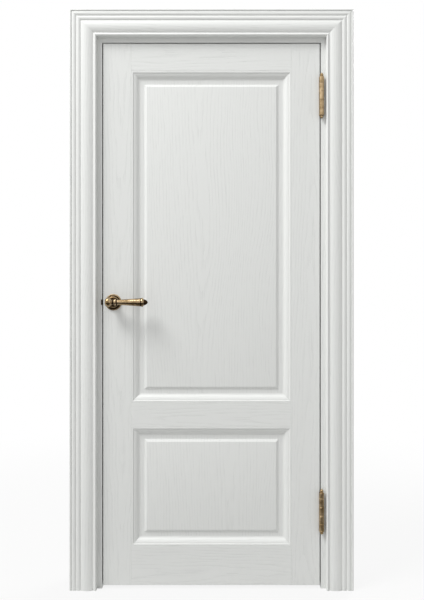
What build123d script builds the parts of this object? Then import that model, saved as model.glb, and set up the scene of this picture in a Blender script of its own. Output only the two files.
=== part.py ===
# Interior door in its own frame: a two-panel leaf on finial hinges, with a turned lever on a round rose.
# Millimetres. X runs across the doorway with the hinges at +X, Y runs through the wall with the
# viewer at -Y, and Z is up from the floor. The origin is the bottom centre of the closed door.
from build123d import *
from math import asin, atan, degrees, pi
import os

os.makedirs("parts", exist_ok=True)

# Leaf
leaf_width = 800
leaf_height = 2000
leaf_thick = 40
stile_width = 104
top_rail_height = 100
middle_rail_height = 90
bottom_rail_height = 145
lower_panel_height = 440
joint_vee = 0.8
edge_round = 1.5

# Moulding round each panel, measured from the stile or rail inward
moulding_width = 33
moulding_depth = 13
moulding_flat = 6
quirk_width = 2
quirk_depth = 2.5
ovolo_width = 16
ovolo_fall = 7.1
ovolo_swell = 1.4
cove_sink = 0.8

# Raised panels
panel_margin = 14
field_bevel = 10
field_rise = 6
panel_play = 2

# Dowels between rails and stiles
dowel_radius = 5
dowel_length = 80
dowel_inset = 28

# Gaps round the leaf
side_gap = 4
head_gap = 4
floor_gap = 12

# Jambs with a stop planted on each, behind the leaf
jamb_depth = 100
jamb_thick = 30
stop_height = 10
seal_space = 4
casing_reveal = 18

# Rubber seal in the stop
seal_width = 8
seal_barb_thick = 3
seal_barb_length = 6
seal_play = 0.3

# Casing, measured from its inner edge outward
bead_width = 12.5
bead_height = 22.5
bead_round = 5
valley_height = 18
valley_sink = 0.8
torus_width = 45
reed_width = 17
reed_height = 21
reed_count = 2
groove_height = 18
edge_width = 8
edge_height = 21.5
edge_round_radius = 5
edge_swell = 0.6
casing_thick = 24
tongue_thick = 5
tongue_length = 12
tongue_setback = 2
tongue_play = 0.3

# Screws through the mitred corners of the frame, and its fixings to the wall
corner_screw_radius = 2.5
corner_screw_length = 60
corner_screw_inset = 24
corner_screw_rise = 19
fixing_radius = 3.25
fixing_head_radius = 6.5
fixing_low = 180
fixing_spacing = 1650

# Hinges
hinge_drop = 196
hinge_lift = 273
barrel_radius = 8.75
barrel_stand_off = 10
barrel_set_out = 1.5
end_knuckle = 24
middle_knuckle = 31.5
middle_knuckles = 3
knuckle_gap = 0.3
bead_proud = 0.7
bead_band = 2.6
bead_lift = 1.2
plate_thick = 2.5
plate_width = 30
plate_corner = 4
pin_radius = 4
running_clearance = 0.05
finial_radius = 6.6
finial_neck_radius = 4.6
top_finial_height = 15
bottom_finial_height = 12
hinge_screw_radius = 2.1
hinge_screw_head = 4.3
hinge_screw_length = 32
hinge_screw_rise = (24, 55)
hinge_screw_inset = (17, 24)

# Lever, turned about a level axis and drawn from the spindle's axis
lever_height = 1045
backset = 38
lever_stand_off = 45
knob_reach = 24.5
knob_radius = 17
knob_root = 2
waist_radius = 7.5
waist_at = 4.5
ring_radius = 12
ring_width = 6.5
ring_bevel = 1.5
ring_at = 12.5
grip_start = 20
grip_start_radius = 9
grip_end = 108
grip_end_radius = 15
collar_width = 6.5
collar_proud = 1.2
tip_length = 17
tip_shoulder = 2.5
tip_waist = 9
tip_waist_radius = 9
neck_radius = 9
neck_waist_radius = 7.8
spindle_side = 7
spindle_end = 30
spindle_play = 0.05
set_screw_radius = 2
set_screw_stand_off = 18

# Rose and the plate under it
rose_radius = 30
rose_rim = 3
rose_height = 10
rose_step = 2
rose_ring = 6
rose_wall = 2
rose_plate_radius = 24
rose_plate_thick = 4
rose_play = 0.3
rose_screw_pitch = 38
rose_screw_radius = 2
spindle_bore = 10

# Tubular latch in the edge of the leaf
latch_radius = 12
latch_wall = 0.8
latch_length = 63
latch_cap = 2
face_plate_width = 25
face_plate_height = 57
face_plate_thick = 3
bolt_width = 12
bolt_height = 18
bolt_nose = 3
bolt_length = 19
bolt_bevel = 2.6
bolt_play = 0.3
bolt_travel = 6
lever_travel = 40
tail_thick = 2
tail_height = 17
tail_set_back = 3.4
tail_end = 3
hub_radius = 6.5
hub_play = 0.05
finger_width = 3
finger_reach = 9.2
finger_thick = 5
peg_length = 2.6
latch_screw_radius = 1.75
latch_screw_head = 3.5
latch_screw_length = 22
latch_screw_pitch = 44

# Strike plate in the lock jamb
strike_height = 70
strike_width = 26
strike_thick = 2
strike_play = 2
strike_pocket = 14
strike_screw_pitch = 56

# What follows from the sizes above
casing_width = bead_width + torus_width + reed_count * reed_width + edge_width
lever_reach = lever_stand_off + knob_radius
face_y = (lever_reach - jamb_depth - casing_thick) / 2
leaf_mid_y = face_y + leaf_thick / 2
leaf_back_y = face_y + leaf_thick
wall_mid_y = face_y + jamb_depth / 2
rebate_depth = leaf_thick + seal_space
opening_width = leaf_width + 2 * side_gap
opening_height = floor_gap + leaf_height + head_gap
leaf_edge = leaf_width / 2
stile_edge = leaf_edge - stile_width
leaf_top = floor_gap + leaf_height
bottom_rail_top = floor_gap + bottom_rail_height
middle_rail_bottom = bottom_rail_top + lower_panel_height
middle_rail_top = middle_rail_bottom + middle_rail_height
top_rail_bottom = leaf_top - top_rail_height
hinge_heights = {"upper": leaf_top - hinge_drop, "lower": floor_gap + hinge_lift}
barrel_x = opening_width / 2 + barrel_set_out
barrel_y = face_y - barrel_stand_off
barrel_length = 2 * end_knuckle + middle_knuckles * middle_knuckle
spindle_x = backset - leaf_edge
spindle_z = floor_gap + lever_height
leaf_mid = Plane.XZ.offset(-leaf_mid_y)
wall_mid = Plane.XZ.offset(-wall_mid_y)
right, up, back = Vector(1, 0, 0), Vector(0, 0, 1), Vector(0, 1, 0)


def save(piece, label):
    piece.part.label = label
    export_step(piece.part, f"parts/{label}.step")


# A length of one section from start to start + along * length. The section is drawn with its x
# across the run and its y into the wall. A mitred end opens outward for turn 1, inward for turn -1.
def run(section, start, along, across, length, turn, reach, mitres=(True, True)):
    low, high = (reach if mitred else 0 for mitred in mitres)
    with BuildPart() as stick:
        with BuildSketch(Plane(origin=start - along * low, x_dir=across, z_dir=along)):
            section()
        extrude(amount=low + length + high)
        if mitres[0]:
            split(bisect_by=Plane(origin=start, z_dir=along + across * turn))
        if mitres[1]:
            split(bisect_by=Plane(origin=start + along * length, z_dir=across * turn - along))
    return stick


# One side of the frame, from the rebate's corner moved out by offset
def frame_run(section, side, reach, offset=0):
    half, top = opening_width / 2 + offset, opening_height + offset
    if side == "hinge":
        return run(section, Vector(half, face_y, 0), up, right, top, 1, reach, (False, True))
    if side == "head":
        return run(section, Vector(half, face_y, top), -right, up, 2 * half, 1, reach)
    return run(section, Vector(-half, face_y, top), -up, -right, top, 1, reach, (True, False))


# Jambs

def jamb_section():
    with Locations((0, 0)):
        Rectangle(jamb_thick, jamb_depth, align=(Align.MIN, Align.MIN))
    groove = (tongue_thick + tongue_play, tongue_length + tongue_play)
    groove_at = casing_reveal + tongue_setback + tongue_thick / 2
    with Locations((groove_at, 0)):
        Rectangle(*groove, align=(Align.CENTER, Align.MIN), mode=Mode.SUBTRACT)
    with Locations((groove_at, jamb_depth)):
        Rectangle(*groove, align=(Align.CENTER, Align.MAX), mode=Mode.SUBTRACT)


# Screws that pull each mitred corner together, from the outside of a side jamb into the head
corner_screw_places = [
    Plane(origin=(side * (opening_width / 2 + jamb_thick), face_y + y, opening_height + corner_screw_rise),
          z_dir=(side, 0, 0))
    for side in (-1, 1) for y in (corner_screw_inset, jamb_depth - corner_screw_inset)
]

# Holes for the fixings to the wall, through the jamb where the closed leaf hides them
fixing_places = {
    side: [Plane(origin=(side * opening_width / 2, leaf_mid_y, z), z_dir=(-side, 0, 0))
           for z in (fixing_low, fixing_low + fixing_spacing)]
    for side in (-1, 1)
}

with BuildPart() as head_jamb:
    add(frame_run(jamb_section, "head", jamb_thick).part)
    with Locations(*corner_screw_places):
        Hole(corner_screw_radius, corner_screw_length)
save(head_jamb, "head_jamb")

with BuildPart() as corner_screws:
    with Locations(*corner_screw_places):
        Cylinder(corner_screw_radius, corner_screw_length, align=(Align.CENTER, Align.CENTER, Align.MAX))
save(corner_screws, "frame_corner_screws")

# Where the screws of one hinge go, on the jamb's face and on the leaf's edge
def hinge_screw_places(x, facing, z_mid):
    return [
        Plane(origin=(x, face_y + inset, z_mid + turn * rise), z_dir=(facing, 0, 0))
        for rise, inset in zip(hinge_screw_rise, hinge_screw_inset) for turn in (-1, 1)
    ]


# The pocket a hinge plate lies in, from the face at x toward the given side
def hinge_pocket(x, toward, z_mid):
    with BuildSketch(Plane(origin=(x, face_y, z_mid), x_dir=back, z_dir=(toward, 0, 0))) as pocket:
        RectangleRounded(2 * plate_width, barrel_length, plate_corner)
    extrude(pocket.sketch, amount=plate_thick, mode=Mode.SUBTRACT)


with BuildPart() as hinge_jamb:
    add(frame_run(jamb_section, "hinge", jamb_thick).part)
    for z_mid in hinge_heights.values():
        hinge_pocket(opening_width / 2, 1, z_mid)
        with Locations(*hinge_screw_places(opening_width / 2, -1, z_mid)):
            Hole(hinge_screw_radius, min(hinge_screw_length, jamb_thick))
    with Locations(*fixing_places[1]):
        CounterSinkHole(fixing_radius, fixing_head_radius, jamb_thick)
    with Locations(*corner_screw_places):
        Hole(corner_screw_radius, corner_screw_length)
save(hinge_jamb, "hinge_jamb")

# Where the strike and its screws go
strike_hole_width = bolt_width + 2 * strike_play
strike_hole_height = bolt_height + 2 * strike_play
strike_plane = Plane(origin=(-opening_width / 2, leaf_mid_y, spindle_z), x_dir=back, z_dir=(1, 0, 0))
strike_screw_places = [
    Plane(origin=(-opening_width / 2, leaf_mid_y, spindle_z + turn * strike_screw_pitch / 2), z_dir=(1, 0, 0))
    for turn in (-1, 1)
]

with BuildPart() as lock_jamb:
    add(frame_run(jamb_section, "lock", jamb_thick).part)
    with BuildSketch(strike_plane):
        RectangleRounded(strike_width, strike_height, plate_corner)
    extrude(amount=-strike_thick, mode=Mode.SUBTRACT)
    with BuildSketch(strike_plane):
        Rectangle(strike_hole_width, strike_hole_height)
    extrude(amount=-strike_thick - strike_pocket, mode=Mode.SUBTRACT)
    with Locations(*strike_screw_places):
        Hole(latch_screw_radius, latch_screw_length)
    with Locations(*fixing_places[-1]):
        CounterSinkHole(fixing_radius, fixing_head_radius, jamb_thick)
    with Locations(*corner_screw_places):
        Hole(corner_screw_radius, corner_screw_length)
save(lock_jamb, "lock_jamb")


# Stops, planted on the jambs, with a groove for the seal

def stop_section():
    with Locations((-stop_height, rebate_depth)):
        Rectangle(stop_height, jamb_depth - rebate_depth, align=(Align.MIN, Align.MIN))
    with Locations((-stop_height / 2, rebate_depth)):
        Rectangle(seal_barb_thick, seal_barb_length, align=(Align.CENTER, Align.MIN), mode=Mode.SUBTRACT)


for side in ("hinge", "head", "lock"):
    save(frame_run(stop_section, side, 0), f"{side}_stop")


# Rubber seal: a barb in the stop's groove and a soft lip that the leaf meets

def seal_section():
    with Locations((-stop_height / 2, rebate_depth)):
        Rectangle(seal_barb_thick, seal_barb_length, align=(Align.CENTER, Align.MIN))
    with BuildLine() as outline:
        lip = ThreePointArc((-stop_height / 2 - seal_width / 2, rebate_depth),
                            (-stop_height / 2, rebate_depth - seal_space + seal_play),
                            (-stop_height / 2 + seal_width / 2, rebate_depth))
        Line(lip @ 1, lip @ 0)
    make_face(outline.edges())


for side in ("hinge", "head", "lock"):
    save(frame_run(seal_section, side, jamb_thick), f"{side}_seal")


# Casing: an inner bead, a broad torus, reeds and a rounded outer edge, with a tongue into the jamb

def casing_section():
    torus_end = bead_width + torus_width
    crest = casing_width - edge_round_radius
    with BuildLine() as outline:
        inner = Line((0, 0), (0, bead_round - bead_height))
        nose = TangentArc(inner @ 1, (bead_round, -bead_height), tangent=(0, -1))
        flank = SagittaArc(nose @ 1, (bead_width, -valley_height), valley_sink)
        ridge = ThreePointArc(flank @ 1, (bead_width + torus_width / 2, -casing_thick),
                              (torus_end, -groove_height))
        for reed in range(reed_count):
            x = torus_end + reed * reed_width
            ridge = ThreePointArc(ridge @ 1, (x + reed_width / 2, -reed_height),
                                  (x + reed_width, -groove_height))
        rise = SagittaArc(ridge @ 1, (crest, -edge_height), -edge_swell)
        edge = TangentArc(rise @ 1, (casing_width, edge_round_radius - edge_height), tangent=(1, 0))
        Polyline(edge @ 1, (casing_width, 0), (0, 0))
    make_face(outline.edges())
    with Locations((tongue_setback, 0)):
        Rectangle(tongue_thick, tongue_length, align=(Align.MIN, Align.MIN))


for side in ("hinge", "head", "lock"):
    casing = frame_run(casing_section, side, casing_width, casing_reveal)
    save(casing, f"front_casing_{side}")
    with BuildPart() as back_casing:
        mirror(casing.part, about=wall_mid)
    save(back_casing, f"back_casing_{side}")


# Dowels: where they go on the hinge side, in each rail

rails = {
    "top_rail": (top_rail_bottom, leaf_top),
    "middle_rail": (middle_rail_bottom, middle_rail_top),
    "bottom_rail": (floor_gap, bottom_rail_top),
}
dowel_places = [
    Plane(origin=(side * stile_edge, leaf_mid_y, z), z_dir=(side, 0, 0))
    for low, high in rails.values() for z in (low + dowel_inset, high - dowel_inset) for side in (-1, 1)
]

with BuildPart() as dowels:
    with Locations(*dowel_places):
        Cylinder(dowel_radius, dowel_length)
save(dowels, "rail_dowels")

# Rails

for label, (low, high) in rails.items():
    with BuildPart() as rail:
        with BuildSketch(Plane.XZ.offset(-leaf_back_y)):
            with Locations((0, low)):
                Rectangle(2 * stile_edge, high - low, align=(Align.CENTER, Align.MIN))
        extrude(amount=leaf_thick)
        faces = rail.faces().filter_by(Axis.Y)
        chamfer(faces.edges(), joint_vee)
        with Locations(*dowel_places):
            Cylinder(dowel_radius, dowel_length, mode=Mode.SUBTRACT)
    save(rail, label)


# Stiles: full height, with a fine vee where they meet the rails and the mouldings

def stile_blank(side):
    low, high = sorted((side * stile_edge, side * leaf_edge))
    with BuildPart() as blank:
        with BuildSketch(Plane.XY.offset(floor_gap)):
            with Locations((low, face_y)):
                Rectangle(high - low, leaf_thick, align=(Align.MIN, Align.MIN))
        extrude(amount=leaf_height)
        uprights = blank.edges().filter_by(Axis.Z)
        inner = uprights.sort_by(lambda edge: abs(edge.center().X))[:2]
        outer = uprights.sort_by(lambda edge: abs(edge.center().X))[2:]
        chamfer(inner, joint_vee)
        fillet(outer, edge_round)
        with Locations(*dowel_places):
            Cylinder(dowel_radius, dowel_length, mode=Mode.SUBTRACT)
    return blank


with BuildPart() as hinge_stile:
    add(stile_blank(1).part)
    for z_mid in hinge_heights.values():
        hinge_pocket(leaf_edge, -1, z_mid)
        with Locations(*hinge_screw_places(leaf_edge, 1, z_mid)):
            Hole(hinge_screw_radius, hinge_screw_length)
save(hinge_stile, "hinge_stile")

# Where the latch, its screws, the spindle and the rose screws pass through the lock stile
edge_plane = Plane(origin=(-leaf_edge, leaf_mid_y, spindle_z), x_dir=back, z_dir=(-1, 0, 0))
spindle_plane = Plane(origin=(spindle_x, leaf_mid_y, spindle_z), x_dir=right, z_dir=(0, -1, 0))
latch_screw_places = [
    Plane(origin=(-leaf_edge, leaf_mid_y, spindle_z + turn * latch_screw_pitch / 2), z_dir=(-1, 0, 0))
    for turn in (-1, 1)
]
rose_screw_places = [
    Plane(origin=(spindle_x, leaf_mid_y, spindle_z + turn * rose_screw_pitch / 2), z_dir=(0, -1, 0))
    for turn in (-1, 1)
]


def face_plate_outline():
    RectangleRounded(face_plate_width, face_plate_height, plate_corner)


with BuildPart() as lock_stile:
    add(stile_blank(-1).part)
    with BuildSketch(edge_plane):
        face_plate_outline()
    extrude(amount=-face_plate_thick, mode=Mode.SUBTRACT)
    with BuildSketch(edge_plane):
        Circle(latch_radius)
    extrude(amount=-latch_length, mode=Mode.SUBTRACT)
    with Locations(spindle_plane):
        Cylinder(spindle_bore, leaf_thick, mode=Mode.SUBTRACT)
    with Locations(*rose_screw_places):
        Cylinder(rose_screw_radius + rose_play, leaf_thick, mode=Mode.SUBTRACT)
    with Locations(*latch_screw_places):
        Hole(latch_screw_radius, latch_screw_length)
save(lock_stile, "lock_stile")


# Moulding sticks round the panels, mitred at the corners

def moulding_section():
    with BuildLine() as outline:
        Polyline((0, moulding_depth), (0, joint_vee), (joint_vee, 0), (moulding_flat, 0))
        quirk = Line((moulding_flat, 0), (moulding_flat + quirk_width, quirk_depth))
        ovolo = SagittaArc(quirk @ 1, quirk @ 1 + Vector(ovolo_width, ovolo_fall), -ovolo_swell)
        cove = SagittaArc(ovolo @ 1, (moulding_width, moulding_depth), cove_sink)
        Line(cove @ 1, (0, moulding_depth))
    make_face(outline.edges())


openings = {
    "upper": (middle_rail_top, top_rail_bottom),
    "lower": (bottom_rail_top, middle_rail_bottom),
}
for where, (low, high) in openings.items():
    with BuildPart() as uprights:
        add(run(moulding_section, Vector(-stile_edge, face_y, low), up, right,
                high - low, -1, 0).part)
        mirror(about=Plane.YZ)
    with BuildPart() as crossbars:
        add(run(moulding_section, Vector(-stile_edge, face_y, high), right, -up,
                2 * stile_edge, -1, 0).part)
        mirror(about=Plane.XY.offset((low + high) / 2))
    for kind, sticks in (("uprights", uprights), ("crossbars", crossbars)):
        save(sticks, f"{where}_front_moulding_{kind}")
        with BuildPart() as back_sticks:
            mirror(sticks.part, about=leaf_mid)
        save(back_sticks, f"{where}_back_moulding_{kind}")


# Raised panels, held between the front and the back mouldings

for where, (low, high) in openings.items():
    half_thick = leaf_thick / 2 - moulding_depth
    field_inset = moulding_width + panel_margin
    with BuildPart() as panel:
        with BuildSketch(leaf_mid):
            with Locations((0, (low + high) / 2)):
                Rectangle(2 * (stile_edge - panel_play), high - low - 2 * panel_play)
        extrude(amount=half_thick)
        with BuildSketch(leaf_mid.offset(half_thick)):
            with Locations((0, (low + high) / 2)):
                Rectangle(2 * (stile_edge - field_inset), high - low - 2 * field_inset)
        extrude(amount=field_rise, taper=degrees(atan(field_bevel / field_rise)))
        mirror(about=leaf_mid)
    save(panel, f"{where}_panel")


# Hinges: five knuckles shared between a jamb plate and a leaf plate, a pin and two finials

def knuckle_spans(z_mid):
    spans, z = [], z_mid - barrel_length / 2
    for height in [end_knuckle] + [middle_knuckle] * middle_knuckles + [end_knuckle]:
        spans.append((z, z + height))
        z += height
    return spans


# A plate with its knuckles: its own ones carry the pin, and it stands clear of the others
def hinge_plate(x, toward, z_mid, own, bore):
    barrel = (barrel_x, barrel_y)
    with BuildPart() as plate:
        with BuildSketch(Plane(origin=(x, face_y, z_mid), x_dir=back, z_dir=(toward, 0, 0))):
            RectangleRounded(2 * plate_width, barrel_length, plate_corner)
            Rectangle(2 * plate_width, barrel_length, align=(Align.MAX, Align.CENTER), mode=Mode.SUBTRACT)
            Rectangle(barrel_stand_off, barrel_length, align=(Align.MAX, Align.CENTER))
        extrude(amount=plate_thick)
        for index, (low, high) in enumerate(knuckle_spans(z_mid)):
            if index % 2 == own:
                start = low + knuckle_gap if index else low
                with BuildSketch(Plane.XY.offset(start)):
                    with Locations(barrel):
                        Circle(barrel_radius)
                extrude(amount=high - start)
                with BuildSketch(Plane.XY.offset(low + bead_lift)):
                    with Locations(barrel):
                        Circle(barrel_radius + bead_proud)
                extrude(amount=bead_band)
            else:
                with BuildSketch(Plane.XY.offset(low)):
                    with Locations(barrel):
                        Circle(barrel_radius + bead_proud + knuckle_gap)
                extrude(amount=high - low + knuckle_gap, mode=Mode.SUBTRACT)
        with BuildSketch(Plane.XY.offset(z_mid - barrel_length)):
            with Locations(barrel):
                Circle(bore)
        extrude(amount=2 * barrel_length, mode=Mode.SUBTRACT)
        with Locations(*hinge_screw_places(x, -toward, z_mid)):
            CounterSinkHole(hinge_screw_radius, hinge_screw_head, plate_thick)
    return plate


# A finial drawn upward from its seat: a short neck, a ball and a pointed tip
def finial_outline(height):
    with BuildLine() as outline:
        Polyline((0, 0), (finial_neck_radius + 2, 0), (finial_neck_radius + 2, 1.5), (finial_neck_radius, 2))
        ball = ThreePointArc((finial_neck_radius, 2), (finial_radius, height * 0.42), (1.6, height - 3))
        Polyline(ball @ 1, (0, height), (0, 0))
    make_face(outline.edges())


# Like parts of the upper and the lower hinge are one group each
with BuildPart() as jamb_plates:
    for z_mid in hinge_heights.values():
        add(hinge_plate(opening_width / 2, 1, z_mid, 0, pin_radius).part)
save(jamb_plates, "hinge_jamb_plates")

with BuildPart() as leaf_plates:
    for z_mid in hinge_heights.values():
        add(hinge_plate(leaf_edge, -1, z_mid, 1, pin_radius + running_clearance).part)
save(leaf_plates, "hinge_leaf_plates")

# A pin stands on its finial, halfway up the lowest knuckle, and carries the upper finial
with BuildPart() as pins:
    for z_mid in hinge_heights.values():
        foot, top = z_mid + (end_knuckle - barrel_length) / 2, z_mid + barrel_length / 2
        with BuildSketch(Plane.XY.offset(foot)):
            with Locations((barrel_x, barrel_y)):
                Circle(pin_radius)
        extrude(amount=top - foot)
        with BuildSketch(Plane(origin=(barrel_x, barrel_y, top), x_dir=right, z_dir=-back)):
            finial_outline(top_finial_height)
        revolve(axis=Axis((barrel_x, barrel_y, 0), (0, 0, 1)))
save(pins, "hinge_pins")

with BuildPart() as finials:
    for z_mid in hinge_heights.values():
        seat = z_mid - barrel_length / 2
        with BuildSketch(Plane(origin=(barrel_x, barrel_y, seat), x_dir=right, z_dir=back)):
            finial_outline(bottom_finial_height)
        revolve(axis=Axis((barrel_x, barrel_y, 0), (0, 0, 1)))
        with BuildSketch(Plane.XY.offset(seat)):
            with Locations((barrel_x, barrel_y)):
                Circle(pin_radius)
        extrude(amount=end_knuckle / 2)
save(finials, "hinge_finials")


# A group of countersunk wood screws, sunk from the given places
def wood_screws(places, radius, head_radius, length):
    top = (Align.CENTER, Align.CENTER, Align.MAX)
    with BuildPart() as screws:
        with Locations(*places):
            Cylinder(radius, length, align=top)
            Cone(radius, head_radius, head_radius - radius, align=top)
    return screws


both_hinges = {
    side: [place for z_mid in hinge_heights.values() for place in hinge_screw_places(x, facing, z_mid)]
    for side, x, facing in (("jamb", opening_width / 2, -1), ("leaf", leaf_edge, 1))
}
jamb_screw_length = min(hinge_screw_length, jamb_thick)
save(wood_screws(both_hinges["jamb"], hinge_screw_radius, hinge_screw_head, jamb_screw_length),
     "hinge_jamb_screws")
save(wood_screws(both_hinges["leaf"], hinge_screw_radius, hinge_screw_head, hinge_screw_length),
     "hinge_leaf_screws")

# Latch: a tube with a face plate, open across for the hub

with BuildPart() as latch_case:
    with BuildSketch(edge_plane):
        face_plate_outline()
    extrude(amount=-face_plate_thick)
    with BuildSketch(edge_plane.offset(-face_plate_thick)):
        Circle(latch_radius)
    extrude(amount=face_plate_thick - latch_length)
    with BuildSketch(edge_plane.offset(-face_plate_thick)):
        Circle(latch_radius - latch_wall)
    extrude(amount=face_plate_thick + latch_cap - latch_length, mode=Mode.SUBTRACT)
    with BuildSketch(edge_plane):
        Rectangle(bolt_width + 2 * bolt_play, bolt_height + 2 * bolt_play)
    extrude(amount=-face_plate_thick, mode=Mode.SUBTRACT)
    with Locations(spindle_plane):
        Cylinder(hub_radius + hub_play, leaf_thick, mode=Mode.SUBTRACT)
    with Locations(*latch_screw_places):
        CounterSinkHole(latch_screw_radius, latch_screw_head, face_plate_thick)
save(latch_case, "latch_case")

# The bolt with its tail, a slotted plate beside the hub's finger with a peg that the finger pulls
with BuildPart() as latch_bolt:
    with BuildSketch(edge_plane.offset(bolt_nose)):
        Rectangle(bolt_width, bolt_height)
    extrude(amount=-bolt_length)
    nose = latch_bolt.faces().sort_by(Axis.X)[0]
    chamfer(nose.edges().sort_by(Axis.Y)[-1], bolt_bevel)
    tail_plane = Plane(origin=(spindle_x, leaf_mid_y + tail_set_back, spindle_z), x_dir=right, z_dir=back)
    tail_start = bolt_length - bolt_nose - backset
    tail_stop = hub_radius + bolt_play + bolt_travel + tail_end
    with BuildSketch(tail_plane):
        with Locations((tail_start, 0)):
            Rectangle(tail_stop - tail_start, tail_height, align=(Align.MIN, Align.CENTER))
        with Locations((-bolt_travel / 2, 0)):
            SlotCenterToCenter(bolt_travel, 2 * (hub_radius + bolt_play), mode=Mode.SUBTRACT)
    extrude(amount=tail_thick)
    peg_at = finger_width / 2 + bolt_play
    with BuildSketch(Plane(origin=(spindle_x, leaf_mid_y + tail_set_back, spindle_z), x_dir=right, z_dir=-back)):
        with Locations((peg_at, tail_height / 2)):
            Rectangle(peg_length, tail_height / 2 - hub_radius - bolt_play, align=(Align.MIN, Align.MAX))
    extrude(amount=finger_thick)
save(latch_bolt, "latch_bolt")

# The hub that the spindle turns, with the finger that draws the bolt
square_socket = spindle_side + 2 * spindle_play
with BuildPart() as latch_follower:
    with Locations(spindle_plane):
        Cylinder(hub_radius, 2 * latch_radius)
    with BuildSketch(Plane(origin=(spindle_x, leaf_mid_y + tail_set_back - bolt_play, spindle_z),
                           x_dir=right, z_dir=-back)):
        Rectangle(finger_width, finger_reach, align=(Align.CENTER, Align.MIN))
    extrude(amount=finger_thick)
    with BuildSketch(spindle_plane):
        Rectangle(square_socket, square_socket)
    extrude(amount=latch_radius, both=True, mode=Mode.SUBTRACT)
save(latch_follower, "latch_follower")

save(wood_screws(latch_screw_places, latch_screw_radius, latch_screw_head, latch_screw_length),
     "latch_screws")

# Strike plate in the lock jamb

with BuildPart() as strike_plate:
    with BuildSketch(strike_plane):
        RectangleRounded(strike_width, strike_height, plate_corner)
        Rectangle(strike_hole_width, strike_hole_height, mode=Mode.SUBTRACT)
    extrude(amount=-strike_thick)
    with Locations(*strike_screw_places):
        CounterSinkHole(latch_screw_radius, latch_screw_head, strike_thick)
save(strike_plate, "strike_plate")
save(wood_screws(strike_screw_places, latch_screw_radius, latch_screw_head, latch_screw_length),
     "strike_screws")

# Roses: a turned cover over a plate, and two screws that clamp both plates through the leaf

rose_plane = Plane(origin=(spindle_x, face_y, spindle_z), x_dir=right, z_dir=-up)
spindle_axis = Axis((spindle_x, face_y, spindle_z), (0, -1, 0))

with BuildPart() as rose_plate:
    with BuildSketch(Plane(origin=(spindle_x, face_y, spindle_z), x_dir=right, z_dir=-back)):
        Circle(rose_plate_radius)
        Circle(neck_radius + rose_play, mode=Mode.SUBTRACT)
    extrude(amount=rose_plate_thick)
    with Locations(*rose_screw_places):
        Cylinder(rose_screw_radius, leaf_thick + 2 * rose_plate_thick, mode=Mode.SUBTRACT)
save(rose_plate, "front_rose_plate")
with BuildPart() as back_rose_plate:
    mirror(rose_plate.part, about=leaf_mid)
save(back_rose_plate, "back_rose_plate")

# The cover's outline, drawn outward from the leaf in stepped rings
with BuildPart() as rose:
    with BuildSketch(rose_plane):
        with BuildLine():
            bore = neck_radius + rose_play
            shoulder = rose_radius - rose_step
            crown = shoulder - rose_ring
            rim_top = rose_height - rose_wall * 2
            Polyline((rose_plate_radius, 0), (rose_radius, 0), (rose_radius, rose_rim), (shoulder, rose_rim),
                     (crown, rim_top), (crown - rose_step, rose_height), (crown - rose_ring, rim_top),
                     (bore + rose_ring, rim_top), (bore + rose_step, rose_height), (bore, rose_height),
                     (bore, rose_plate_thick), (rose_plate_radius, rose_plate_thick), (rose_plate_radius, 0))
        make_face()
    revolve(axis=spindle_axis)
save(rose, "front_rose")
with BuildPart() as back_rose:
    mirror(rose.part, about=leaf_mid)
save(back_rose, "back_rose")

with BuildPart() as rose_screws:
    with Locations(*rose_screw_places):
        Cylinder(rose_screw_radius, leaf_thick + 2 * rose_plate_thick)
save(rose_screws, "rose_screws")

# Spindle: a square bar through the hub into both levers
with BuildPart() as spindle:
    with BuildSketch(spindle_plane):
        Rectangle(spindle_side, spindle_side)
    extrude(amount=leaf_thick / 2 + spindle_end, both=True)
save(spindle, "spindle")

# Levers: a turned bar with a knob, a ring, a swelling grip, a collar and a pointed tip, on a neck
bar_plane = Plane(origin=(spindle_x, face_y - lever_stand_off, spindle_z), x_dir=right, z_dir=-back)
bar_axis = Axis((spindle_x, face_y - lever_stand_off, spindle_z), (1, 0, 0))
neck_plane = Plane(origin=(spindle_x, face_y, spindle_z), x_dir=right, z_dir=-up)
set_screw_place = Plane(origin=(spindle_x, face_y - set_screw_stand_off, spindle_z - neck_radius), z_dir=-up)
set_screw_length = neck_radius - spindle_side / 2 - spindle_play

with BuildPart() as lever:
    with BuildSketch(bar_plane):
        with BuildLine():
            knob_turn = knob_reach / 2
            knob_flat = knob_radius - knob_turn
            knob_sweep = 180 - degrees(asin((waist_radius + knob_root - knob_flat) / knob_turn))
            knob = CenterArc((-knob_turn, knob_flat), knob_turn, 180, -knob_sweep)
            Line((-knob_reach, 0), knob @ 0)
            ring_low, ring_high = ring_at - ring_width / 2, ring_at + ring_width / 2
            ring = Polyline(knob @ 1, (waist_at, waist_radius), (ring_low, waist_radius),
                            (ring_low + ring_bevel, ring_radius), (ring_high - ring_bevel, ring_radius),
                            (ring_high, grip_start_radius))
            grip = Polyline(ring @ 1, (grip_start, grip_start_radius), (grip_end, grip_end_radius))
            collar_radius = grip_end_radius + collar_proud
            collar_end = grip_end + collar_width
            Polyline(grip @ 1, (grip_end, collar_radius), (collar_end, collar_radius),
                     (collar_end, grip_end_radius - tip_shoulder))
            Polyline((collar_end, grip_end_radius - tip_shoulder), (collar_end + tip_waist, tip_waist_radius),
                     (collar_end + tip_length, 0), (-knob_reach, 0))
        make_face()
    revolve(axis=bar_axis)
    with BuildSketch(neck_plane):
        with BuildLine():
            Polyline((0, 0), (neck_radius, 0), (neck_radius, rose_height + rose_step),
                     (neck_waist_radius, lever_stand_off), (0, lever_stand_off), (0, 0))
        make_face()
    revolve(axis=spindle_axis)
    with BuildSketch(Plane(origin=(spindle_x, face_y, spindle_z), x_dir=right, z_dir=-back)):
        Rectangle(square_socket, square_socket)
    extrude(amount=spindle_end + spindle_play, mode=Mode.SUBTRACT)
    with Locations(set_screw_place):
        Hole(set_screw_radius, set_screw_length)
save(lever, "front_lever")
with BuildPart() as back_lever:
    mirror(lever.part, about=leaf_mid)
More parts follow.
